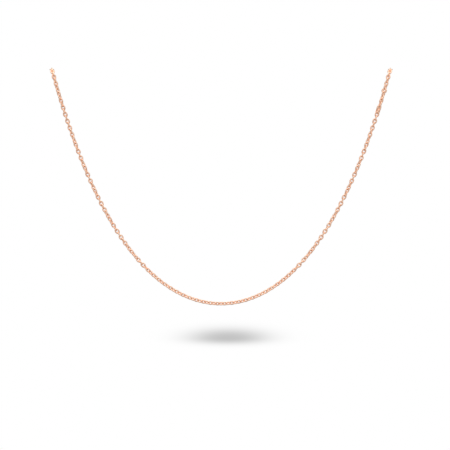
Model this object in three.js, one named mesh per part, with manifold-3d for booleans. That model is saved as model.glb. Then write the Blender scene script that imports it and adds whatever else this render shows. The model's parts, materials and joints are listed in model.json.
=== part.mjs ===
// A fine cable-link necklace with a spring-ring clasp, hung folded double over two pegs.
//
// Units are millimetres. X runs from left to right, Z is up and -Y faces the viewer. The origin
// is the middle of the line between the two pegs, where both strands leave them. The front strand
// and the back strand are the same catenary, one on each side of the pegs, and at each peg nine
// links turn over from one to the other. The clasp is in the back strand, just under the right peg.
//
// A place on a strand is counted in links from the strand's lowest link, which is number 0. Whole
// numbers are link centres and halves are the contacts between links; the right side is positive.
import * as THREE from 'three';
import { mergeVertices } from 'three/addons/utils/BufferGeometryUtils.js';
import Module from 'manifold-3d';

const wasm = await Module();
wasm.setup();

// Driving dimensions.
const HALF_SPAN = 59.36; // from the middle to where a strand leaves its peg
const SAG = 80.98; // from that height down to the lowest link of the front strand
const BACK_DROP = 0.93; // how much lower the back strand hangs
const STRAND_LINKS = 167;
const PEG_TURN_LINKS = 9;
const TURN_RADIUS = 3.3; // of the links' centre line over a peg, so strands hang 6.6 mm apart
const WIRE = 0.46;
const LINK_WIDTH = 1.62; // outside
const JUMP_RING_WIRE = 0.36;
const JUMP_RING_ROLL = -10; // degrees about the strand

// The spring ring: a hollow C-shaped tube, closed by a sprung bolt.
const RING_RADIUS = 2; // to the centre of the tube
const TUBE_RADIUS = 0.5;
const BORE_RADIUS = 0.33;
const BOLT_RADIUS = 0.28;
const MOUTH = [-40, 2]; // degrees round the ring, from straight back towards the top
const BOLT = [-44, 24];
const SPRING = [25, 119];
const SPRING_STOP = [120, 127];
const SLOT = [6, 66]; // the knob's way through the tube's outer wall
const SLOT_WIDTH = 0.34;
const SPRING_TURNS = 8;
const SPRING_RADIUS = 0.23; // to the centre of its wire
const SPRING_WIRE = 0.05; // radius
const STOP_RADIUS = 0.29;
const EYELET_HOLE = 0.42;
const EYELET_WIRE = 0.17; // radius of its wire
const TAB_THICKNESS = 0.36;
const TAB_HOLES = { ring: 0.62, link: 0.42 }; // radii of its upper and lower hole
const TAB_RIMS = { ring: 0.2, link: 0.3 };
const RUNNING_GAP = 0.02;
const CUT_MARGIN = 0.2; // how far a cutting shape goes past the metal that it cuts

// The thumb knob: its stem goes through the slot, and its head widens outside the tube.
const KNOB_ANGLE = 13;
const KNOB_STEM_RADIUS = 0.11;
const KNOB_HEAD = [
  // [radius, height above the tube's outer wall]
  [0.11, 0.08],
  [0.36, 0.14],
  [0.42, 0.28],
  [0.3, 0.44],
  [0, 0.48],
];

// How each half of a strand is divided, as the contacts where one run of links meets the next.
const TOP = STRAND_LINKS / 2;
const FRONT_CUTS = [TOP, 75.5, 67.5, 59.5, 50.5, 41.5, 32.5, 23.5, 14.5];
const BACK_CUTS = [TOP, 80.5, 79.5, 75.5, 72.5, 65.5, 57.5, 49.5, 41.5, 32.5, 23.5, 14.5];
const CLASP_PLACES = { jumpRing: 1, clasp: 2, tab: 3 }; // the back strand's right intervals it fills

// How far the links have turned about the strand, as [links from the middle, degrees].
const TWIST = [
  [0, 57],
  [23, 57],
  [29, 152],
  [46, 12],
  [66, -235],
  [86, -350],
];

const gold = () => new THREE.MeshStandardMaterial({ color: 0xe9a27c, metalness: 1, roughness: 0.2 });
const steel = () => new THREE.MeshStandardMaterial({ color: 0xb9bbbe, metalness: 1, roughness: 0.3 });

const BACK = new THREE.Vector3(0, 1, 0);
const FRONT = new THREE.Vector3(0, -1, 0);
const radians = THREE.MathUtils.degToRad;

// The catenary z = a (cosh(x / a) - 1) that spans HALF_SPAN and rises by SAG.
function catenaryParameter() {
  let low = 1;
  let high = 10 * HALF_SPAN;
  for (let step = 0; step < 80; step++) {
    const a = (low + high) / 2;
    if (a * (Math.cosh(HALF_SPAN / a) - 1) > SAG) low = a;
    else high = a;
  }
  return low;
}

const CATENARY = catenaryParameter();
const HALF_LENGTH = CATENARY * Math.sinh(HALF_SPAN / CATENARY);
const PITCH = HALF_LENGTH / TOP;

// strand is -1 in front of the pegs and 1 behind them.
function strandPoint(strand, place) {
  const x = CATENARY * Math.asinh((place * PITCH) / CATENARY);
  const z = CATENARY * (Math.cosh(x / CATENARY) - 1) - SAG - (strand > 0 ? BACK_DROP : 0);
  return new THREE.Vector3(x, strand * TURN_RADIUS, z);
}

// A point over the right peg, from 0 at the front strand to 1 at the back strand.
function turnPoint(share) {
  const angle = Math.PI * share;
  const lean = CATENARY / HALF_LENGTH; // the strand's sideways run for each unit of height
  return new THREE.Vector3(
    HALF_SPAN + lean * TURN_RADIUS * Math.sin(angle),
    -TURN_RADIUS * Math.cos(angle),
    TURN_RADIUS * Math.sin(angle) - (BACK_DROP * (1 - Math.cos(angle))) / 2,
  );
}

// Linear between the points of TWIST, plus the quarter turn that every second link has.
function linkRoll(number) {
  const far = Math.abs(number);
  const next = Math.max(1, TWIST.findIndex(([place]) => place > far));
  const [[fromPlace, from], [toPlace, to]] = [TWIST[next - 1], TWIST[next]];
  const twist = from + ((to - from) * (far - fromPlace)) / (toPlace - fromPlace);
  return twist + (number % 2 ? 90 : 0);
}

// The frame of a ring or link that reaches from one contact to the next: local Y is its length,
// local X its width and local Z the normal of its plane. facing is the way that a roll of 90
// degrees turns its width to.
function linkFrame(upper, lower, facing, roll) {
  const length = upper.clone().sub(lower).normalize();
  const side = new THREE.Vector3().crossVectors(length, facing).normalize();
  const out = new THREE.Vector3().crossVectors(side, length);
  const width = side.multiplyScalar(Math.cos(radians(roll))).addScaledVector(out, Math.sin(radians(roll)));
  const normal = new THREE.Vector3().crossVectors(width, length);
  const frame = new THREE.Matrix4().makeBasis(width, length, normal);
  return frame.setPosition(upper.clone().add(lower).multiplyScalar(0.5));
}

function toManifold(geometry) {
  const bare = geometry.clone();
  bare.deleteAttribute('normal');
  bare.deleteAttribute('uv');
  const merged = mergeVertices(bare, 1e-5);
  const vertProperties = new Float32Array(merged.attributes.position.array);
  const triVerts = new Uint32Array(merged.index.array);
  return new wasm.Manifold(new wasm.Mesh({ numProp: 3, vertProperties, triVerts }));
}

function toGeometry(manifold) {
  const mesh = manifold.getMesh();
  const geometry = new THREE.BufferGeometry();
  geometry.setAttribute('position', new THREE.BufferAttribute(mesh.vertProperties, 3));
  geometry.setIndex(new THREE.BufferAttribute(mesh.triVerts, 1));
  return geometry;
}

function joined(geometries) {
  return toGeometry(geometries.map(toManifold).reduce((whole, piece) => whole.add(piece)));
}

// A four-cornered link of square wire with an edge inwards, and with the metal of a round one.
// Its end goes into the next link of its own run by JOIN_OVERLAP, and is clear of it at a hinge.
const COARSE_WIRE = 0.28;
const JOIN_OVERLAP = 0.05;
const HINGE_GAP = 0.01;

function coarseLink(reach, joinedAbove, joinedBelow) {
  const halfWidth = (LINK_WIDTH - WIRE) / 2;
  const halfLength = (reach + WIRE) / 2;
  const corner = halfWidth * Math.SQRT2;
  const geometry = new THREE.TorusGeometry(corner, COARSE_WIRE, 4, 4);
  geometry.rotateZ(Math.PI / 4);
  geometry.scale(1, halfLength / halfWidth, 1);
  const innerEdge = halfLength * (1 - COARSE_WIRE / corner);
  const endShift = (joinedEnd) => (joinedEnd ? -JOIN_OVERLAP : HINGE_GAP) + reach / 2 - innerEdge;
  const points = geometry.attributes.position;
  for (let i = 0; i < points.count; i++) {
    const y = points.getY(i);
    points.setY(i, y > 0 ? y + endShift(joinedAbove) : y - endShift(joinedBelow));
  }
  return geometry;
}

// One run of links between two hinges, as a single solid.
function linkRun(name, contacts, facings, rolls) {
  const last = rolls.length - 1;
  const links = rolls.map((roll, i) => {
    const reach = contacts[i].distanceTo(contacts[i + 1]);
    const link = coarseLink(reach, i > 0, i < last);
    return link.applyMatrix4(linkFrame(contacts[i], contacts[i + 1], facings[i], roll));
  });
  const origin = contacts[0];
  const mesh = new THREE.Mesh(joined(links).translate(-origin.x, -origin.y, -origin.z), gold());
  mesh.name = name;
  mesh.position.copy(origin);
  return mesh;
}

// The run of a strand from one contact to another, both counted in links from the middle.
function strandRun(name, strand, from, to) {
  const down = to < from ? -1 : 1;
  const count = Math.abs(to - from);
  const contacts = Array.from({ length: count + 1 }, (_, i) => strandPoint(strand, from + down * i));
  const numbers = Array.from({ length: count }, (_, i) => from + down * (i + 0.5));
  // Links roll the other way in a run that is counted from left to right, so that the strand's two
  // sides are mirror images.
  const rolls = numbers.map((number) => -down * linkRoll(number));
  return linkRun(name, contacts, numbers.map(() => FRONT), rolls);
}

function mirrored(points) {
  return points.map((point) => new THREE.Vector3(-point.x, point.y, point.z));
}

// The nine links that turn over a peg. side is 1 on the right and -1 on the left.
function pegTurn(name, side) {
  const shares = Array.from({ length: PEG_TURN_LINKS + 1 }, (_, i) => i / PEG_TURN_LINKS);
  const right = shares.map(turnPoint);
  const start = linkRoll(TOP - 0.5) + 90;
  const end = 180 * Math.round((2 * start) / 180) - start;
  const rolls = shares.slice(1).map((share, i) => {
    const roll = start + ((end - start) * (i + 1)) / (PEG_TURN_LINKS + 1);
    return side * (roll + (i % 2 ? 90 : 0));
  });
  const facings = shares.slice(1).map((share, i) => {
    const angle = (Math.PI * (i + 0.5)) / PEG_TURN_LINKS;
    return new THREE.Vector3(0, -Math.cos(angle), Math.sin(angle));
  });
  // The run is counted from the back strand to the front strand, as a right run is: downwards.
  const contacts = side > 0 ? right : mirrored(right);
  return linkRun(name, contacts.reverse(), facings.reverse(), rolls.reverse());
}

// A point on the ring's circle, at an angle from straight back (local +X) towards the top (+Y).
function ringPoint(angle, radius = RING_RADIUS) {
  return new THREE.Vector3(radius * Math.cos(radians(angle)), radius * Math.sin(radians(angle)), 0);
}

class RingArc extends THREE.Curve {
  constructor(from, to) {
    super();
    this.from = from;
    this.to = to;
  }

  getPoint(t) {
    return ringPoint(this.from + (this.to - this.from) * t);
  }
}

class RingCoil extends THREE.Curve {
  getPoint(t) {
    const turn = 2 * Math.PI * SPRING_TURNS * t;
    const [from, to] = SPRING;
    const point = ringPoint(from + (to - from) * t, RING_RADIUS + SPRING_RADIUS * Math.cos(turn));
    return point.setZ(SPRING_RADIUS * Math.sin(turn));
  }
}

function polygon(radius, sides) {
  const points = Array.from({ length: sides }, (_, i) => {
    const angle = (2 * Math.PI * (i + 0.5)) / sides;
    return new THREE.Vector2(radius * Math.cos(angle), radius * Math.sin(angle));
  });
  return new THREE.Shape(points);
}

function swept(curve, radius, sides, steps) {
  return new THREE.ExtrudeGeometry(polygon(radius, sides), { extrudePath: curve, steps });
}

// The hollow tube: open at its mouth, with a slot for the knob in its outer wall.
function ringTube() {
  const [low, high] = MOUTH;
  const outer = toManifold(swept(new RingArc(high, 360 + low), TUBE_RADIUS, 8, 18));
  const overrun = 2; // degrees that the bore's cut goes past each end
  const boreArc = new RingArc(high - overrun, 360 + low + overrun);
  const bore = toManifold(swept(boreArc, BORE_RADIUS, 6, 18));
  const [slotFrom, slotTo] = SLOT.map(radians);
  const slotShape = new THREE.Shape();
  slotShape.absarc(0, 0, RING_RADIUS + TUBE_RADIUS + CUT_MARGIN, slotFrom, slotTo, false);
  slotShape.absarc(0, 0, RING_RADIUS, slotTo, slotFrom, true);
  const slot = new THREE.ExtrudeGeometry(slotShape, {
    depth: SLOT_WIDTH,
    bevelEnabled: false,
    curveSegments: 5,
  });
  slot.translate(0, 0, -SLOT_WIDTH / 2);
  return toGeometry(outer.subtract(bore).subtract(toManifold(slot)));
}

// The soldered loop on top of the ring, shaped to the tube that it sits on.
function ringEyelet(centreHeight) {
  const loop = new THREE.TorusGeometry(EYELET_HOLE + EYELET_WIRE, EYELET_WIRE, 6, 12);
  loop.translate(0, centreHeight, 0);
  const seat = swept(new RingArc(40, 140), TUBE_RADIUS + RUNNING_GAP, 10, 8);
  return toGeometry(toManifold(loop).subtract(toManifold(seat)));
}

function knob() {
  const foot = BOLT_RADIUS + RUNNING_GAP;
  const head = KNOB_HEAD.map(([radius, height]) => [radius, TUBE_RADIUS + height]);
  const profile = [[0, foot], [KNOB_STEM_RADIUS, foot], ...head];
  return new THREE.LatheGeometry(profile.map(([x, y]) => new THREE.Vector2(x, y)), 10);
}

// The blank end tab that the ring hooks into: two round ends joined by straight sides.
function tabPlate(reach) {
  const upper = TAB_HOLES.ring + TAB_RIMS.ring;
  const lower = TAB_HOLES.link + TAB_RIMS.link;
  const upperY = reach / 2 + RUNNING_GAP - TAB_HOLES.ring;
  const lowerY = TAB_HOLES.link - reach / 2;
  const taper = Math.asin((upper - lower) / (upperY - lowerY));
  const outline = new THREE.Shape();
  outline.absarc(0, upperY, upper, -taper, Math.PI + taper, false);
  outline.absarc(0, lowerY, lower, Math.PI + taper, 2 * Math.PI - taper, false);
  for (const [radius, y] of [[TAB_HOLES.ring, upperY], [TAB_HOLES.link, lowerY]]) {
    const hole = new THREE.Path();
    hole.absarc(0, y, radius, 0, 2 * Math.PI, true);
    outline.holes.push(hole);
  }
  const plate = new THREE.ExtrudeGeometry(outline, {
    depth: TAB_THICKNESS,
    bevelEnabled: false,
    curveSegments: 6,
  });
  return plate.translate(0, 0, -TAB_THICKNESS / 2);
}

function named(name, geometry, material) {
  const mesh = new THREE.Mesh(geometry, material);
  mesh.name = name;
  return mesh;
}

function placed(object, frame) {
  frame.decompose(object.position, object.quaternion, object.scale);
  return object;
}

// The clasp and its two neighbours fill the first three links' places after the first right run.
function claspParts() {
  const contact = (i) => strandPoint(1, BACK_CUTS[i]);
  const { jumpRing: jumpPlace, clasp: claspPlace, tab: tabPlace } = CLASP_PLACES;
  const jumpReach = contact(jumpPlace).distanceTo(contact(jumpPlace + 1));
  const jumpRadius = (jumpReach + JUMP_RING_WIRE) / 2;
  const jumpRing = placed(
    named('jump_ring', new THREE.TorusGeometry(jumpRadius, JUMP_RING_WIRE / 2, 5, 12), gold()),
    linkFrame(contact(jumpPlace), contact(jumpPlace + 1), FRONT, JUMP_RING_ROLL),
  );

  // The ring lies in the plane of the strand and Y. Its tube rests on the tab's hole at the bottom.
  const claspFrame = linkFrame(contact(claspPlace), contact(claspPlace + 1), BACK, 90);
  const claspReach = contact(claspPlace).distanceTo(contact(claspPlace + 1));
  const ringHeight = RING_RADIUS - TUBE_RADIUS - claspReach / 2;
  const clasp = placed(new THREE.Group(), claspFrame);
  const ring = new THREE.Group();
  ring.position.y = ringHeight;
  clasp.add(ring);

  ring.add(named('ring_tube', ringTube(), gold()));
  const eyeletHeight = claspReach / 2 - ringHeight - EYELET_HOLE;
  ring.add(named('ring_eyelet', ringEyelet(eyeletHeight), gold()));
  ring.add(named('ring_bolt', swept(new RingArc(...BOLT), BOLT_RADIUS, 6, 6), gold()));
  ring.add(named('return_spring', swept(new RingCoil(), SPRING_WIRE, 3, SPRING_TURNS * 6), steel()));
  ring.add(named('spring_stop', swept(new RingArc(...SPRING_STOP), STOP_RADIUS, 8, 1), gold()));
  const thumbKnob = named('thumb_knob', knob(), gold());
  thumbKnob.position.copy(ringPoint(KNOB_ANGLE));
  thumbKnob.rotation.z = radians(KNOB_ANGLE - 90);
  ring.add(thumbKnob);

  const tabReach = contact(tabPlace).distanceTo(contact(tabPlace + 1));
  const tab = placed(
    named('end_tab', tabPlate(tabReach), gold()),
    linkFrame(contact(tabPlace), contact(tabPlace + 1), FRONT, 0),
  );
  return [jumpRing, clasp, tab];
}

const necklace = new THREE.Group();
necklace.add(pegTurn('left_peg_turn', -1));
necklace.add(pegTurn('right_peg_turn', 1));

for (const [strandName, strand, cuts] of [['front', -1, FRONT_CUTS], ['back', 1, BACK_CUTS]]) {
  for (let i = 0; i < cuts.length - 1; i++) {
    necklace.add(strandRun(`${strandName}_left_${i + 1}`, strand, -cuts[i], -cuts[i + 1]));
    const takenByClasp = strand > 0 && Object.values(CLASP_PLACES).includes(i);
    if (!takenByClasp) {
      necklace.add(strandRun(`${strandName}_right_${i + 1}`, strand, cuts[i], cuts[i + 1]));
    }
  }
  const lowest = cuts[cuts.length - 1];
  necklace.add(strandRun(`${strandName}_bottom`, strand, -lowest, lowest));
}
necklace.add(...claspParts());

export default necklace;
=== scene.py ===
"""A fine rose-gold cable chain with a spring-ring clasp, hung folded double over two pegs.

Places are in metres, in the CAD model's frame: X runs along the span, Z is up and -Y faces the
viewer. A place on a strand is counted in links from the strand's lowest link, as the CAD model
counts it: whole numbers are link centres, halves are contacts and the right side is positive.
The shapes of the links and of the clasp are drawn in millimetres and then put in their places.
"""
import json
import math
import random

import bmesh
import bpy
from mathutils import Matrix, Vector


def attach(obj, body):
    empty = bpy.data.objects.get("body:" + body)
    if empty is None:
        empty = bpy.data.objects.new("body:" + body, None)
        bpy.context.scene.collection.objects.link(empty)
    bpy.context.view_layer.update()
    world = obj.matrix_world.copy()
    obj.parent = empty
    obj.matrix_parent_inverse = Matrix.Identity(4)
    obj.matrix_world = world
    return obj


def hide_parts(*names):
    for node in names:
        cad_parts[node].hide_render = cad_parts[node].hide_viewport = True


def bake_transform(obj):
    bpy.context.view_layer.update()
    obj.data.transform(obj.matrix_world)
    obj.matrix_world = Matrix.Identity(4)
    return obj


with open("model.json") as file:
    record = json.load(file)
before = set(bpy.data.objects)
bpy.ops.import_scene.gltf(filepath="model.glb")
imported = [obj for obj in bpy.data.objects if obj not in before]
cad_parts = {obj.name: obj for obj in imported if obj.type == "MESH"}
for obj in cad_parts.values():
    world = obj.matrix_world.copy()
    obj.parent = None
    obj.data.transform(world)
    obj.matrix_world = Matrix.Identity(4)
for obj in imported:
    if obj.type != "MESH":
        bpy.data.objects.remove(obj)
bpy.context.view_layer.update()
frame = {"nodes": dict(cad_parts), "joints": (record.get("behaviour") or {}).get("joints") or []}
MM = 0.001

# Places from the CAD model's joints.
HINGES = {joint["name"]: Vector(joint["pos_m"]) for joint in frame["joints"]}
HALF_SPAN = HINGES["front_right_hinge_1"].x
TURN_RADIUS = -HINGES["front_right_hinge_1"].y
BACK_DROP = -HINGES["back_right_hinge_1"].z
STRAND_LINKS = 167
PEG_TURN_LINKS = 9

# The link, in millimetres.
WIRE = 0.46
LINK_WIDTH = 1.62
END_ROUNDING = 0.25  # 0 bends a link into an ellipse; the more, the blunter its ends
LINK_LEAN = 3  # degrees that a link settles to either side, about the strand
LINK_STEPS = 36
LINK_SIDES = 12
SEAM_SWELL = 0.07  # of the wire's thickness, where a link is soldered shut
SEAM_LENGTH = 0.07

# The clasp and its neighbours, in millimetres; angles in degrees, from straight back to the top.
JUMP_RING_WIRE = 0.36
JUMP_RING_ROLL = -10
JUMP_RING_SPLIT = 3  # degrees that the ring is left open
CUT_WIRE_ROUNDING = 0.02
RING_RADIUS = 2.0
TUBE_RADIUS = 0.5
BORE_RADIUS = 0.33
BOLT_RADIUS = 0.28
MOUTH = (-40, 2)
BOLT = (-44, 24)
BOLT_ROUNDING = 0.16
TUBE_ROUNDING = 0.06
TUBE_SOFTENING = 0.018  # of the edges that the bore and the slot leave
SLOT = (6, 66)
SLOT_WIDTH = 0.34
SPRING = (25, 119)
SPRING_TURNS = 8
SPRING_RADIUS = 0.23
SPRING_WIRE = 0.05
SPRING_STOP = (120, 127)
STOP_RADIUS = 0.29
STOP_ROUNDING = 0.04
EYELET_HOLE = 0.42
EYELET_WIRE = 0.17
FILLET_SWELL = 0.55  # of the eyelet's wire, where it is soldered to the tube
FILLET_SPREAD = 0.42  # radians of the eyelet's loop
TAB_THICKNESS = 0.36
TAB_HOLES = {"ring": 0.62, "link": 0.42}
TAB_RIMS = {"ring": 0.2, "link": 0.3}
TAB_BEVEL = 0.06
RUNNING_GAP = 0.02
TUBE_SIDES = 28
ROD_SIDES = 24
KNOB_ANGLE = 13
KNOB_NOTCHES = 18
KNOB_NOTCH_DEPTH = 0.045  # of the radius
KNOB_MILLING = (0.3, 0.4)  # the radii at which the notches begin and are full

# How far the links have turned about the strand, as (links from the middle, degrees). The left
# half of a strand mirrors the right half.
TWIST = [(0, 57), (23, 57), (29, 152), (46, 12), (66, -235), (86, -350)]

FRONT = Vector((0, -1, 0))
BACK = Vector((0, 1, 0))
UP = Vector((0, 0, 1))


# ---------------------------------------------------------------- the curve that the chain hangs in


def catenary_parameter():
    """The catenary through the first and the last hinge of the front strand's left half."""
    lowest = HINGES["front_bottom_hinge"]
    low, high = HALF_SPAN / 10, HALF_SPAN * 10
    halvings = 80
    for _ in range(halvings):
        a = (low + high) / 2
        if a * (math.cosh(HALF_SPAN / a) - math.cosh(lowest.x / a)) > -lowest.z:
            low = a
        else:
            high = a
    return low


CATENARY = catenary_parameter()
SAG = CATENARY * (math.cosh(HALF_SPAN / CATENARY) - 1)
HALF_LENGTH = CATENARY * math.sinh(HALF_SPAN / CATENARY)
PITCH = 2 * HALF_LENGTH / STRAND_LINKS


def strand_point(strand, place):
    """strand is -1 in front of the pegs and 1 behind them."""
    x = CATENARY * math.asinh(place * PITCH / CATENARY)
    z = CATENARY * (math.cosh(x / CATENARY) - 1) - SAG
    return Vector((x, strand * TURN_RADIUS, z - (BACK_DROP if strand > 0 else 0)))


def place_of(x):
    """The place on a strand that is at x, to the nearest contact or link centre."""
    return round(2 * CATENARY * math.sinh(x / CATENARY) / PITCH) / 2


def turn_point(side, share):
    """A point over a peg, from 0 at the front strand to 1 at the back strand."""
    angle = math.pi * share
    lean = CATENARY / HALF_LENGTH  # the strand's sideways run for each unit of height
    return Vector((
        side * (HALF_SPAN + lean * TURN_RADIUS * math.sin(angle)),
        -TURN_RADIUS * math.cos(angle),
        TURN_RADIUS * math.sin(angle) - BACK_DROP * (1 - math.cos(angle)) / 2,
    ))


def link_roll(number):
    """A link's roll in degrees: the twist, which is linear between the points of TWIST, plus the
    quarter turn that every second link has."""
    far = abs(number)
    after = next(i for i, (place, _) in enumerate(TWIST) if place > far)
    (from_place, start), (to_place, end) = TWIST[after - 1], TWIST[after]
    twist = start + (end - start) * (far - from_place) / (to_place - from_place)
    return twist + (90 if number % 2 else 0)


def link_frame(upper, lower, facing, roll):
    """From one contact to the next: local Y is the length, X the width and Z the normal."""
    length = (upper - lower).normalized()
    side = length.cross(facing).normalized()
    out = side.cross(length)
    width = side * math.cos(math.radians(roll)) + out * math.sin(math.radians(roll))
    axes = Matrix((width, length, width.cross(length))).transposed()
    return Matrix.Translation((upper + lower) / 2) @ axes.to_4x4()


# ---------------------------------------------------------------------------------- mesh building


def tube_faces(count, sides, closed=False):
    """The faces of a tube of `count` rings of points, with lids unless it closes on itself."""
    faces = []
    for i in range(count if closed else count - 1):
        here, there = i * sides, (i + 1) % count * sides
        for k in range(sides):
            after = (k + 1) % sides
            faces.append((here + k, here + after, there + after, there + k))
    if not closed:
        faces.append(tuple(reversed(range(sides))))
        faces.append(tuple(range((count - 1) * sides, count * sides)))
    return faces


class Shape:
    """Vertices and faces that grow piece by piece."""

    def __init__(self):
        self.points = []
        self.faces = []

    def add(self, points, faces, matrix=Matrix.Identity(4)):
        first = len(self.points)
        self.points += [matrix @ point for point in points]
        self.faces += [tuple(first + corner for corner in face) for face in faces]
        return self

    def add_tube(self, rings, sides, closed=False, matrix=Matrix.Identity(4)):
        """rings are (centre, u, v), where u and v are the two radii of the section there."""
        turns = [2 * math.pi * k / sides for k in range(sides)]
        points = [c + u * math.cos(t) + v * math.sin(t) for c, u, v in rings for t in turns]
        return self.add(points, tube_faces(len(rings), sides, closed), matrix)


def in_place(matrix):
    """A frame in metres, for a shape that is drawn in millimetres."""
    return matrix @ Matrix.Scale(MM, 4)


def finish_mesh(mesh, sharp=math.radians(38)):
    """Turns the faces outwards and shades them smooth, with sharp edges where they meet at an angle."""
    grown = bmesh.new()
    grown.from_mesh(mesh)
    bmesh.ops.recalc_face_normals(grown, faces=grown.faces)
    for edge in grown.edges:
        edge.smooth = edge.calc_face_angle(0) < sharp
    for face in grown.faces:
        face.smooth = True
    grown.to_mesh(mesh)
    grown.free()


def new_object(name, shape):
    mesh = bpy.data.meshes.new(name)
    mesh.from_pydata([tuple(point) for point in shape.points], [], shape.faces)
    finish_mesh(mesh)
    made = bpy.data.objects.new(name, mesh)
    bpy.context.scene.collection.objects.link(made)
    return made


def apply_modifiers(made):
    evaluated = made.evaluated_get(bpy.context.evaluated_depsgraph_get())
    mesh = bpy.data.meshes.new_from_object(evaluated)
    made.modifiers.clear()
    made.data = mesh
    finish_mesh(mesh)


def cut(made, cutter):
    """Takes the cutter's shape out of the object, and removes the cutter."""
    modifier = made.modifiers.new("cut", "BOOLEAN")
    modifier.operation = "DIFFERENCE"
    modifier.solver = "EXACT"
    modifier.object = cutter
    bpy.context.view_layer.update()
    apply_modifiers(made)
    bpy.data.objects.remove(cutter)


def soften(made, width):
    """Rounds the sharp edges, as tumbling and polishing do."""
    modifier = made.modifiers.new("soften", "BEVEL")
    modifier.width = width
    modifier.segments = 2
    modifier.limit_method = "ANGLE"
    modifier.angle_limit = math.radians(40)
    modifier.use_clamp_overlap = True
    apply_modifiers(made)


def hand_over(made, material, body, slot, *nodes, matrix=None):
    """Gives a piece its place and material, hides the CAD nodes that it stands for, and attaches it to
    its body. The slot is not used.

    Without a body the piece is left unattached.
    """
    if matrix is not None:
        made.data.transform(matrix)
    made.data.materials.clear()
    made.data.materials.append(material)
    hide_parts(*nodes)
    if body:
        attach(made, body)
    return made


# -------------------------------------------------------------------------------------- materials


def node(tree, kind, inputs=None, **settings):
    """A shader node with its settings, and its inputs by name: a value, or a socket to link from."""
    made = tree.nodes.new(kind)
    for name, value in settings.items():
        setattr(made, name, value)
    for name, value in (inputs or {}).items():
        if isinstance(value, bpy.types.NodeSocket):
            tree.links.new(value, made.inputs[name])
        else:
            made.inputs[name].default_value = value
    return made


def noise(tree, scale, detail, stretch=None):
    """Noise with `scale` features to a metre, in the object's own space."""
    place = node(tree, "ShaderNodeTexCoord").outputs["Object"]
    if stretch:
        mapping = node(tree, "ShaderNodeMapping", {"Vector": place, "Scale": stretch})
        place = mapping.outputs["Vector"]
    inputs = {"Vector": place, "Scale": scale, "Detail": detail}
    return node(tree, "ShaderNodeTexNoise", inputs).outputs["Fac"]


def spread(tree, value, low, high, start=0.3, end=0.7):
    """Noise keeps to the middle of its range, so that part is stretched over low to high."""
    inputs = {"Value": value, "From Min": start, "From Max": end, "To Min": low, "To Max": high}
    return node(tree, "ShaderNodeMapRange", inputs).outputs["Result"]


# The metal's surface: features to a metre, and the depth of the finest marks in metres.
TINT_SCALE = 620.0
HAZE_SCALE = 5200.0
SCRATCH_SCALE = 21000.0
SCRATCH_STRETCH = (1.0, 1.0, 0.22)
SCRATCH_DEPTH = 2e-6


def metal(name, light, deep, roughness, scratch):
    """Polished metal: its tint drifts from link to link, and fine marks roughen it in places."""
    material = bpy.data.materials.new(name)
    material.use_nodes = True
    tree = material.node_tree
    tree.nodes.clear()

    drift = noise(tree, TINT_SCALE, detail=1.0)
    tint = node(tree, "ShaderNodeMix", data_type="RGBA")
    tree.links.new(spread(tree, drift, 0.0, 1.0), tint.inputs["Factor"])
    tint.inputs["A"].default_value = (*light, 1)
    tint.inputs["B"].default_value = (*deep, 1)

    haze = noise(tree, HAZE_SCALE, detail=3.0)
    bump = node(tree, "ShaderNodeBump", {
        "Height": noise(tree, SCRATCH_SCALE, detail=4.0, stretch=SCRATCH_STRETCH),
        "Strength": scratch,
        "Distance": SCRATCH_DEPTH,
    })

    shader = node(tree, "ShaderNodeBsdfPrincipled", {
        "Base Color": tint.outputs["Result"],
        "Metallic": 1.0,
        "Roughness": spread(tree, haze, *roughness),
        "Normal": bump.outputs["Normal"],
    })
    output = node(tree, "ShaderNodeOutputMaterial")
    tree.links.new(shader.outputs["BSDF"], output.inputs["Surface"])
    return material


chain_gold = metal("rose_gold_chain", (0.94, 0.64, 0.47), (0.90, 0.55, 0.39), (0.12, 0.24), 0.35)
clasp_gold = metal("rose_gold_clasp", (0.94, 0.64, 0.47), (0.91, 0.57, 0.41), (0.08, 0.20), 0.25)
spring_steel = metal("spring_steel", (0.62, 0.62, 0.63), (0.50, 0.50, 0.52), (0.22, 0.36), 0.5)


# -------------------------------------------------------------------------------------- the chain


def add_link(shape, upper, lower, facing, roll):
    """A wire bent into an oval and soldered shut on one long side."""
    reach = (upper - lower).length / MM
    half_width = (LINK_WIDTH - WIRE) / 2
    straight = (reach + WIRE) / 2 - half_width
    rings = []
    for i in range(LINK_STEPS):
        angle = 2 * math.pi * i / LINK_STEPS
        out = Vector((math.cos(angle), math.sin(angle), 0))
        stretch = straight * out.y * (1 + END_ROUNDING * (1 - out.y**2))
        centre = out * half_width + Vector((0, stretch, 0))
        seam = math.exp(-((centre.y / SEAM_LENGTH) ** 2)) if centre.x > 0 else 0
        radius = WIRE / 2 * (1 + SEAM_SWELL * seam)
        rings.append((centre, out * radius, UP * radius))
    here = in_place(link_frame(upper, lower, facing, roll))
    shape.add_tube(rings, LINK_SIDES, closed=True, matrix=here)


def lean(strand, number):
    """How far one link has settled out of the even twist of its strand."""
    return random.Random(f"{strand} {number}").uniform(-LINK_LEAN, LINK_LEAN)


def strand_run(node_name, strand, low, high):
    """The links of one CAD node, from one contact to another, counted from left to right."""
    shape = Shape()
    for step in range(round(high - low)):
        number = round(low + 0.5) + step
        left, right = strand_point(strand, number - 0.5), strand_point(strand, number + 0.5)
        add_link(shape, left, right, FRONT, -link_roll(number) + lean(strand, number))
    made = new_object("links_" + node_name, shape)
    hand_over(made, chain_gold, node_name, "chain_gold", node_name)


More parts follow.
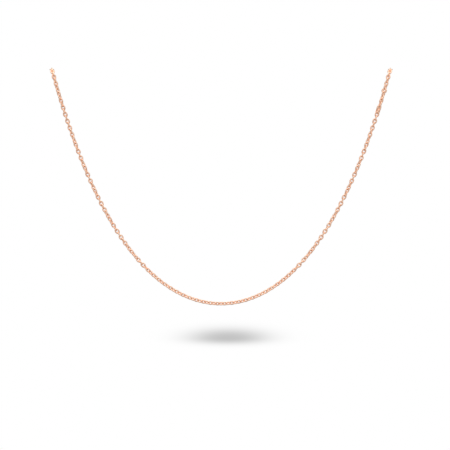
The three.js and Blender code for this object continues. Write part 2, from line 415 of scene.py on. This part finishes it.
def strand_runs(name, strand):
    """Every run of a strand, from hinge to hinge. The clasp stands in for some on the right."""
    count = sum(hinge.startswith(name + "_left_hinge_") for hinge in HINGES)
    hinges = [f"{name}_left_hinge_{i + 1}" for i in range(count)] + [name + "_bottom_hinge"]
    cuts = [place_of(-HINGES[hinge].x) for hinge in hinges]
    for i, (high, low) in enumerate(zip(cuts, cuts[1:])):
        strand_run(f"{name}_left_{i + 1}", strand, -high, -low)
        if f"{name}_right_{i + 1}" in frame["nodes"]:
            strand_run(f"{name}_right_{i + 1}", strand, low, high)
    strand_run(name + "_bottom", strand, -cuts[-1], cuts[-1])


def peg_turn(name, side):
    """The links that turn over a peg. side is 1 on the right and -1 on the left."""
    start = link_roll((STRAND_LINKS - 1) / 2) + 90
    # The back strand is turned as the front one is but faces the other way, so the roll ends at
    # minus its start, give or take the half turns that leave a link as it was.
    end = 180 * round(2 * start / 180) - start
    shape = Shape()
    for i in range(PEG_TURN_LINKS):
        angle = math.pi * (i + 0.5) / PEG_TURN_LINKS
        facing = Vector((0, -math.cos(angle), math.sin(angle)))
        roll = start + (end - start) * (i + 1) / (PEG_TURN_LINKS + 1) + (90 if i % 2 else 0)
        back, front = turn_point(side, (i + 1) / PEG_TURN_LINKS), turn_point(side, i / PEG_TURN_LINKS)
        add_link(shape, back, front, facing, side * roll)
    made = new_object("links_" + name, shape)
    hand_over(made, chain_gold, "peg_turns", "chain_gold", name)


strand_runs("front", -1)
strand_runs("back", 1)
peg_turn("left_peg_turn", -1)
peg_turn("right_peg_turn", 1)


# -------------------------------------------------------------------------------------- the clasp


def ring_point(angle, radius=RING_RADIUS):
    """A point on the ring's circle, from straight back (local X) towards the top (local Y)."""
    turn = math.radians(angle)
    return Vector((radius * math.cos(turn), radius * math.sin(turn), 0))


def arc_rings(start, end, radius, steps, ring_radius=RING_RADIUS, ends=None):
    """Sections along an arc. ends gives how each end narrows, as (distance from it, share of the
    radius), from the end inwards."""
    arc = [(start + (end - start) * i / steps, 1) for i in range(steps + 1)]
    if ends:
        way = math.copysign(math.degrees(1 / ring_radius), end - start)
        inner = [(start + way * far, share) for far, share in ends]
        outer = [(end - way * far, share) for far, share in reversed(ends)]
        clear = 1.2 * abs(way * ends[-1][0])  # how far from an end the even sections begin
        kept = [(a, s) for a, s in arc if abs(a - start) > clear and abs(a - end) > clear]
        arc = inner + kept + outer
    sections = []
    for angle, share in arc:
        out = ring_point(angle, 1)
        sections.append((out * ring_radius, out * radius * share, UP * radius * share))
    return sections


def rounded(radius, size, steps=4):
    """The ends for arc_rings of a rod whose edge is rounded by `size` millimetres."""
    ends = []
    for i in range(steps + 1):
        turn = math.pi / 2 * i / steps
        ends.append((size * (1 - math.sin(turn)), (radius - size * (1 - math.cos(turn))) / radius))
    return list(reversed(ends))


def slot_cutter():
    """A slot with round ends through the ring's outer wall."""
    half = SLOT_WIDTH / 2
    end_turn = math.degrees(half / (RING_RADIUS + TUBE_RADIUS))
    long_steps, round_steps = 12, 8
    outline = []
    for start, end, side in ((*SLOT, 1), (*reversed(SLOT), -1)):
        for i in range(long_steps + 1):
            outline.append((start + (end - start) * i / long_steps, side * half))
        for i in range(1, round_steps):
            turn = math.pi * i / round_steps
            outline.append((end + side * end_turn * math.sin(turn), side * half * math.cos(turn)))
    count = len(outline)
    inner = [ring_point(angle, RING_RADIUS) + UP * z for angle, z in outline]
    outer = [ring_point(angle, RING_RADIUS + 2 * TUBE_RADIUS) + UP * z for angle, z in outline]
    walls = [(k, (k + 1) % count, count + (k + 1) % count, count + k) for k in range(count)]
    lids = [tuple(reversed(range(count))), tuple(range(count, 2 * count))]
    return new_object("slot_cutter", Shape().add(inner + outer, walls + lids))


def ring_tube():
    """A bored tube bent into a ring, open at its mouth and slotted for the knob."""
    low, high = MOUTH[1], 360 + MOUTH[0]
    run_out = 3  # degrees that the bore's cutter reaches past each end
    ends = rounded(TUBE_RADIUS, TUBE_ROUNDING)
    outer = arc_rings(low, high, TUBE_RADIUS, steps=72, ends=ends)
    bore = arc_rings(low - run_out, high + run_out, BORE_RADIUS, steps=72)
    made = new_object("ring_tube_shell", Shape().add_tube(outer, TUBE_SIDES))
    cut(made, new_object("bore_cutter", Shape().add_tube(bore, ROD_SIDES)))
    cut(made, slot_cutter())
    soften(made, TUBE_SOFTENING)
    return made


def ring_eyelet(centre_height):
    """A wire loop that flares into a solder fillet where it sits on the tube."""
    major = EYELET_HOLE + EYELET_WIRE
    steps = 48
    lowest = 1.5 * math.pi
    rings = []
    for i in range(steps):
        angle = 2 * math.pi * i / steps
        out = Vector((math.cos(angle), math.sin(angle), 0))
        flare = 1 + FILLET_SWELL * math.exp(-(((angle - lowest) / FILLET_SPREAD) ** 2))
        centre = out * major + Vector((0, centre_height, 0))
        rings.append((centre, out * EYELET_WIRE, UP * EYELET_WIRE * flare))
    made = new_object("ring_eyelet_loop", Shape().add_tube(rings, 20, closed=True))
    seat = arc_rings(40, 140, TUBE_RADIUS + RUNNING_GAP / 4, steps=40)
    cut(made, new_object("seat_cutter", Shape().add_tube(seat, TUBE_SIDES)))
    return made


def return_spring():
    """A close coil of round wire in the tube's bore, with its ends closed up."""
    steps = SPRING_TURNS * 28
    sides = 10
    centres = []
    outs = []
    for i in range(steps + 1):
        share = i / steps
        turn = 2 * math.pi * SPRING_TURNS * share
        angle = SPRING[0] + (SPRING[1] - SPRING[0]) * share
        out = ring_point(angle, 1) * math.cos(turn) + UP * math.sin(turn)
        centres.append(ring_point(angle) + out * SPRING_RADIUS)
        outs.append(out)
    rings = []
    for i, (centre, out) in enumerate(zip(centres, outs)):
        along = (centres[min(i + 1, steps)] - centres[max(i - 1, 0)]).normalized()
        across = along.cross(out).normalized()
        rings.append((centre, across.cross(along) * SPRING_WIRE, across * SPRING_WIRE))
    return new_object("return_spring_coil", Shape().add_tube(rings, sides))


def thumb_knob():
    """A round stem through the slot, with a domed, milled head."""
    foot = BOLT_RADIUS * 0.6  # inside the bolt
    top = TUBE_RADIUS
    profile = [  # (radius, distance from the tube's centre line)
        (0.11, foot), (0.11, top + 0.06), (0.13, top + 0.085), (0.2, top + 0.095), (0.33, top + 0.115),
        (0.385, top + 0.15), (0.41, top + 0.21), (0.415, top + 0.28), (0.4, top + 0.34),
        (0.35, top + 0.4), (0.27, top + 0.44), (0.16, top + 0.455), (0.05, top + 0.46),
    ]
    sides = 4 * KNOB_NOTCHES
    begins, full = KNOB_MILLING
    points = []
    for radius, height in profile:
        milled = max(0, min(1, (radius - begins) / (full - begins)))
        for k in range(sides):
            turn = 2 * math.pi * k / sides
            notch = KNOB_NOTCH_DEPTH * milled * (0.5 + 0.5 * math.cos(KNOB_NOTCHES * turn))
            rim = radius * (1 - notch)
            points.append(Vector((rim * math.cos(turn), height, rim * math.sin(turn))))
    return new_object("thumb_knob_milled", Shape().add(points, tube_faces(len(profile), sides)))


def tab_arc(y, radius, start, end, steps):
    """The points of an arc about (0, y), with its angles in radians."""
    angles = [start + (end - start) * i / steps for i in range(steps + 1)]
    return [(radius * math.cos(angle), y + radius * math.sin(angle)) for angle in angles]


def end_tab(reach):
    """A blank plate with two round ends, a hole in each, and rounded edges all round."""
    upper, lower = (TAB_HOLES[end] + TAB_RIMS[end] - TAB_BEVEL for end in ("ring", "link"))
    upper_y = reach / 2 + RUNNING_GAP - TAB_HOLES["ring"]
    lower_y = TAB_HOLES["link"] - reach / 2
    taper = math.asin((upper - lower) / (upper_y - lower_y))
    outline = tab_arc(upper_y, upper, -taper, math.pi + taper, steps=32)
    outline += tab_arc(lower_y, lower, math.pi + taper, 2 * math.pi - taper, steps=32)
    rings = [outline]
    for end, y in (("ring", upper_y), ("link", lower_y)):
        circle = tab_arc(y, TAB_HOLES[end] + TAB_BEVEL, 0, 2 * math.pi, steps=48)
        rings.append(circle[:-1])
    curve = bpy.data.curves.new("tab_outline", "CURVE")
    curve.dimensions = "2D"
    curve.fill_mode = "BOTH"
    curve.extrude = TAB_THICKNESS / 2 - TAB_BEVEL
    curve.bevel_depth = TAB_BEVEL
    curve.bevel_resolution = 3
    for ring in rings:
        spline = curve.splines.new("POLY")
        spline.points.add(len(ring) - 1)
        for point, (x, y) in zip(spline.points, ring):
            point.co = (x, y, 0, 1)
        spline.use_cyclic_u = True
    drawn = bpy.data.objects.new("tab_outline", curve)
    bpy.context.scene.collection.objects.link(drawn)
    bpy.context.view_layer.update()
    mesh = bpy.data.meshes.new_from_object(drawn.evaluated_get(bpy.context.evaluated_depsgraph_get()))
    bpy.data.objects.remove(drawn)
    made = bpy.data.objects.new("end_tab_blank", mesh)
    bpy.context.scene.collection.objects.link(made)
    joined = bmesh.new()
    joined.from_mesh(mesh)
    # The bevel and the flat faces each have their own points where they meet.
    bmesh.ops.remove_doubles(joined, verts=joined.verts, dist=1e-4)
    joined.to_mesh(mesh)
    joined.free()
    finish_mesh(mesh)
    return made


def jump_ring(reach):
    """A round ring of wire, closed butt to butt: the split shows as a hairline."""
    half_wire = JUMP_RING_WIRE / 2
    split = JUMP_RING_SPLIT / 2
    ends = rounded(half_wire, CUT_WIRE_ROUNDING, steps=3)
    radius = reach / 2 + half_wire
    rings = arc_rings(split, 360 - split, half_wire, steps=64, ring_radius=radius, ends=ends)
    return new_object("jump_ring_wire", Shape().add_tube(rings, 18))


def clasp():
    """The pieces that join the ends of the chain: jump ring, spring ring and end tab."""
    # The contacts from the jump ring's upper end down to the tab's lower end.
    contacts = [HINGES[f"back_right_hinge_{i}"] for i in (2, 3, 4, 5)]
    reaches = [(a - b).length / MM for a, b in zip(contacts, contacts[1:])]

    jump_frame = link_frame(contacts[0], contacts[1], FRONT, JUMP_RING_ROLL)
    hand_over(jump_ring(reaches[0]), clasp_gold, "jump_ring", "clasp_gold", "jump_ring",
              matrix=in_place(jump_frame))

    # The ring lies in the plane of the strand and Y, round the bolt joint's axis.
    ring_frame = link_frame(contacts[1], contacts[2], BACK, 90)
    ring_frame.translation = HINGES["bolt_slide_round_ring"]
    ring_height = RING_RADIUS - TUBE_RADIUS - reaches[1] / 2
    eyelet_height = reaches[1] / 2 - ring_height - EYELET_HOLE
    here = in_place(ring_frame)
    gold = (clasp_gold, "clasp", "clasp_gold")
    hand_over(ring_tube(), *gold, "ring_tube", matrix=here)
    hand_over(ring_eyelet(eyelet_height), *gold, "ring_eyelet", matrix=here)
    spring = hand_over(return_spring(), spring_steel, None, "spring_steel", "return_spring", matrix=here)
    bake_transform(spring)
    stop_ends = rounded(STOP_RADIUS, STOP_ROUNDING, steps=3)
    stop_rings = arc_rings(*SPRING_STOP, STOP_RADIUS, steps=2, ends=stop_ends)
    stop = new_object("spring_stop_plug", Shape().add_tube(stop_rings, ROD_SIDES))
    hand_over(stop, *gold, "spring_stop", matrix=here)

    bolt_ends = rounded(BOLT_RADIUS, BOLT_ROUNDING, steps=6)
    bolt_rings = arc_rings(*BOLT, BOLT_RADIUS, steps=24, ends=bolt_ends)
    bolt = new_object("ring_bolt_rod", Shape().add_tube(bolt_rings, ROD_SIDES))
    hand_over(bolt, clasp_gold, "bolt", "clasp_gold", "ring_bolt", matrix=here)
    knob_turn = Matrix.Rotation(math.radians(KNOB_ANGLE - 90), 4, "Z")
    knob_frame = Matrix.Translation(ring_point(KNOB_ANGLE)) @ knob_turn
    hand_over(thumb_knob(), clasp_gold, "bolt", "clasp_gold", "thumb_knob", matrix=here @ knob_frame)

    tab_frame = link_frame(contacts[2], contacts[3], FRONT, 0)
    hand_over(end_tab(reaches[2]), clasp_gold, "end_tab", "clasp_gold", "end_tab",
              matrix=in_place(tab_frame))


clasp()


# ------------------------------------------------------------------------------------- the studio

FLOOR_DROP = 12.4 * MM  # from the front strand's lowest link down to the floor
FLOOR_SIZE = 6.0
FLOOR_GLOW = 0.65  # how bright the floor is in the metal's reflections
# The shadow under the chain is painted into the floor's glow: a soft oval, darkest in the middle.
SHADOW_X = 2.6 * MM  # the shadow's centre
SHADOW_WIDTH = 14.3 * MM
SHADOW_NEAR = 14.7 * MM
SHADOW_FAR = 23.6 * MM
SHADOW_DEPTH = 0.45
SHADOW_EDGE = 2.4  # the higher, the flatter its middle and the steeper its edge


def math_node(tree, operation, *values):
    inputs = dict(enumerate(values))
    return node(tree, "ShaderNodeMath", inputs, operation=operation).outputs["Value"]


def pale_floor():
    """A white floor with one soft round shadow painted into its glow under the chain."""
    half = FLOOR_SIZE / 2
    corners = [Vector((x * half, y * half, 0)) for x, y in ((-1, -1), (1, -1), (1, 1), (-1, 1))]
    floor = new_object("floor", Shape().add(corners, [(0, 1, 2, 3)]))
    floor.location = (SHADOW_X, -TURN_RADIUS, -SAG - FLOOR_DROP)

    material = bpy.data.materials.new("pale_floor")
    material.use_nodes = True
    tree = material.node_tree
    tree.nodes.clear()
    # Painted shadow: the floor's glow is dimmed in a soft oval under the chain.
    place = node(tree, "ShaderNodeTexCoord").outputs["Object"]
    parts = node(tree, "ShaderNodeSeparateXYZ", {"Vector": place}).outputs
    across = math_node(tree, "DIVIDE", parts["X"], SHADOW_WIDTH)
    behind = math_node(tree, "GREATER_THAN", parts["Y"], 0.0)
    depth = math_node(tree, "MULTIPLY_ADD", behind, SHADOW_FAR - SHADOW_NEAR, SHADOW_NEAR)
    along = math_node(tree, "DIVIDE", parts["Y"], depth)
    square = math_node(tree, "MULTIPLY_ADD", across, across, math_node(tree, "MULTIPLY", along, along))
    power = math_node(tree, "POWER", square, SHADOW_EDGE / 2)
    fade = math_node(tree, "EXPONENT", math_node(tree, "MULTIPLY", power, -1.0))
    shade = math_node(tree, "MULTIPLY_ADD", fade, -SHADOW_DEPTH, 1.0)
    seen = node(tree, "ShaderNodeLightPath").outputs["Is Camera Ray"]
    bright = math_node(tree, "MULTIPLY_ADD", seen, 1 - FLOOR_GLOW, FLOOR_GLOW)
    light = math_node(tree, "MULTIPLY", shade, bright)
    glow = node(tree, "ShaderNodeEmission", {"Color": (1, 1, 1, 1), "Strength": light})
    output = node(tree, "ShaderNodeOutputMaterial")
    tree.links.new(glow.outputs["Emission"], output.inputs["Surface"])
    floor.data.materials.append(material)


# What the polished metal reflects: where each glow is, how wide it is, as the cosines at which it
# begins and is full, and how bright.
GLOWS = [
    ((0.0, 0.1, 1.0), (0.45, 0.85), 1.4),
    ((-0.88, -0.33, 0.28), (0.78, 0.94), 1.2),
    ((0.88, -0.33, 0.28), (0.78, 0.94), 1.2),
    ((0.0, -1.0, 0.15), (0.92, 0.99), 0.1),
]
SURROUND = 0.42


def white_tent():
    """White to the camera. The metal reflects a dark surround with soft glows, which shows its form."""
    world = bpy.data.worlds.new("white_tent")
    bpy.context.scene.world = world
    world.use_nodes = True
    tree = world.node_tree
    tree.nodes.clear()
    way = node(tree, "ShaderNodeTexCoord").outputs["Generated"]
    level = SURROUND
    for place, (begins, full), bright in GLOWS:
        aim = tuple(Vector(place).normalized())
        near = node(tree, "ShaderNodeVectorMath", {0: way, 1: aim}, operation="DOT_PRODUCT")
        glow = node(tree, "ShaderNodeMapRange", {
            "Value": near.outputs["Value"],
            "From Min": begins,
            "From Max": full,
            "To Max": bright,
        }, interpolation_type="SMOOTHSTEP")
        level = math_node(tree, "ADD", glow.outputs["Result"], level)
    seen = node(tree, "ShaderNodeLightPath").outputs["Is Camera Ray"]
    strength = node(tree, "ShaderNodeMix", {"Factor": seen, "A": level, "B": 1.0}, data_type="FLOAT")
    surround = node(tree, "ShaderNodeBackground", {"Strength": strength.outputs["Result"]})
    surround.inputs["Color"].default_value = (1, 1, 1, 1)
    output = node(tree, "ShaderNodeOutputWorld")
    tree.links.new(surround.outputs["Background"], output.inputs["Surface"])


CAMERA_DISTANCE = 5.0
CAMERA_ELEVATION = math.radians(8)
FRAME_WIDTH = 160.4 * MM  # what the picture takes in at the front strand
SENSOR_WIDTH = 36
AIM = Vector((1.39 * MM, -TURN_RADIUS, -52.64 * MM))


def camera():
    back = Vector((0, -math.cos(CAMERA_ELEVATION), math.sin(CAMERA_ELEVATION)))
    made = bpy.data.objects.new("camera", bpy.data.cameras.new("camera"))
    made.data.sensor_width = SENSOR_WIDTH
    made.data.lens = SENSOR_WIDTH * CAMERA_DISTANCE / FRAME_WIDTH
    made.data.clip_start = 0.1
    made.data.clip_end = 20
    made.location = AIM + back * CAMERA_DISTANCE
    made.rotation_euler = back.to_track_quat("Z", "Y").to_euler()
    bpy.context.scene.collection.objects.link(made)
    bpy.context.scene.camera = made


pale_floor()
white_tent()
camera()
bpy.context.scene.view_settings.view_transform = "Standard"
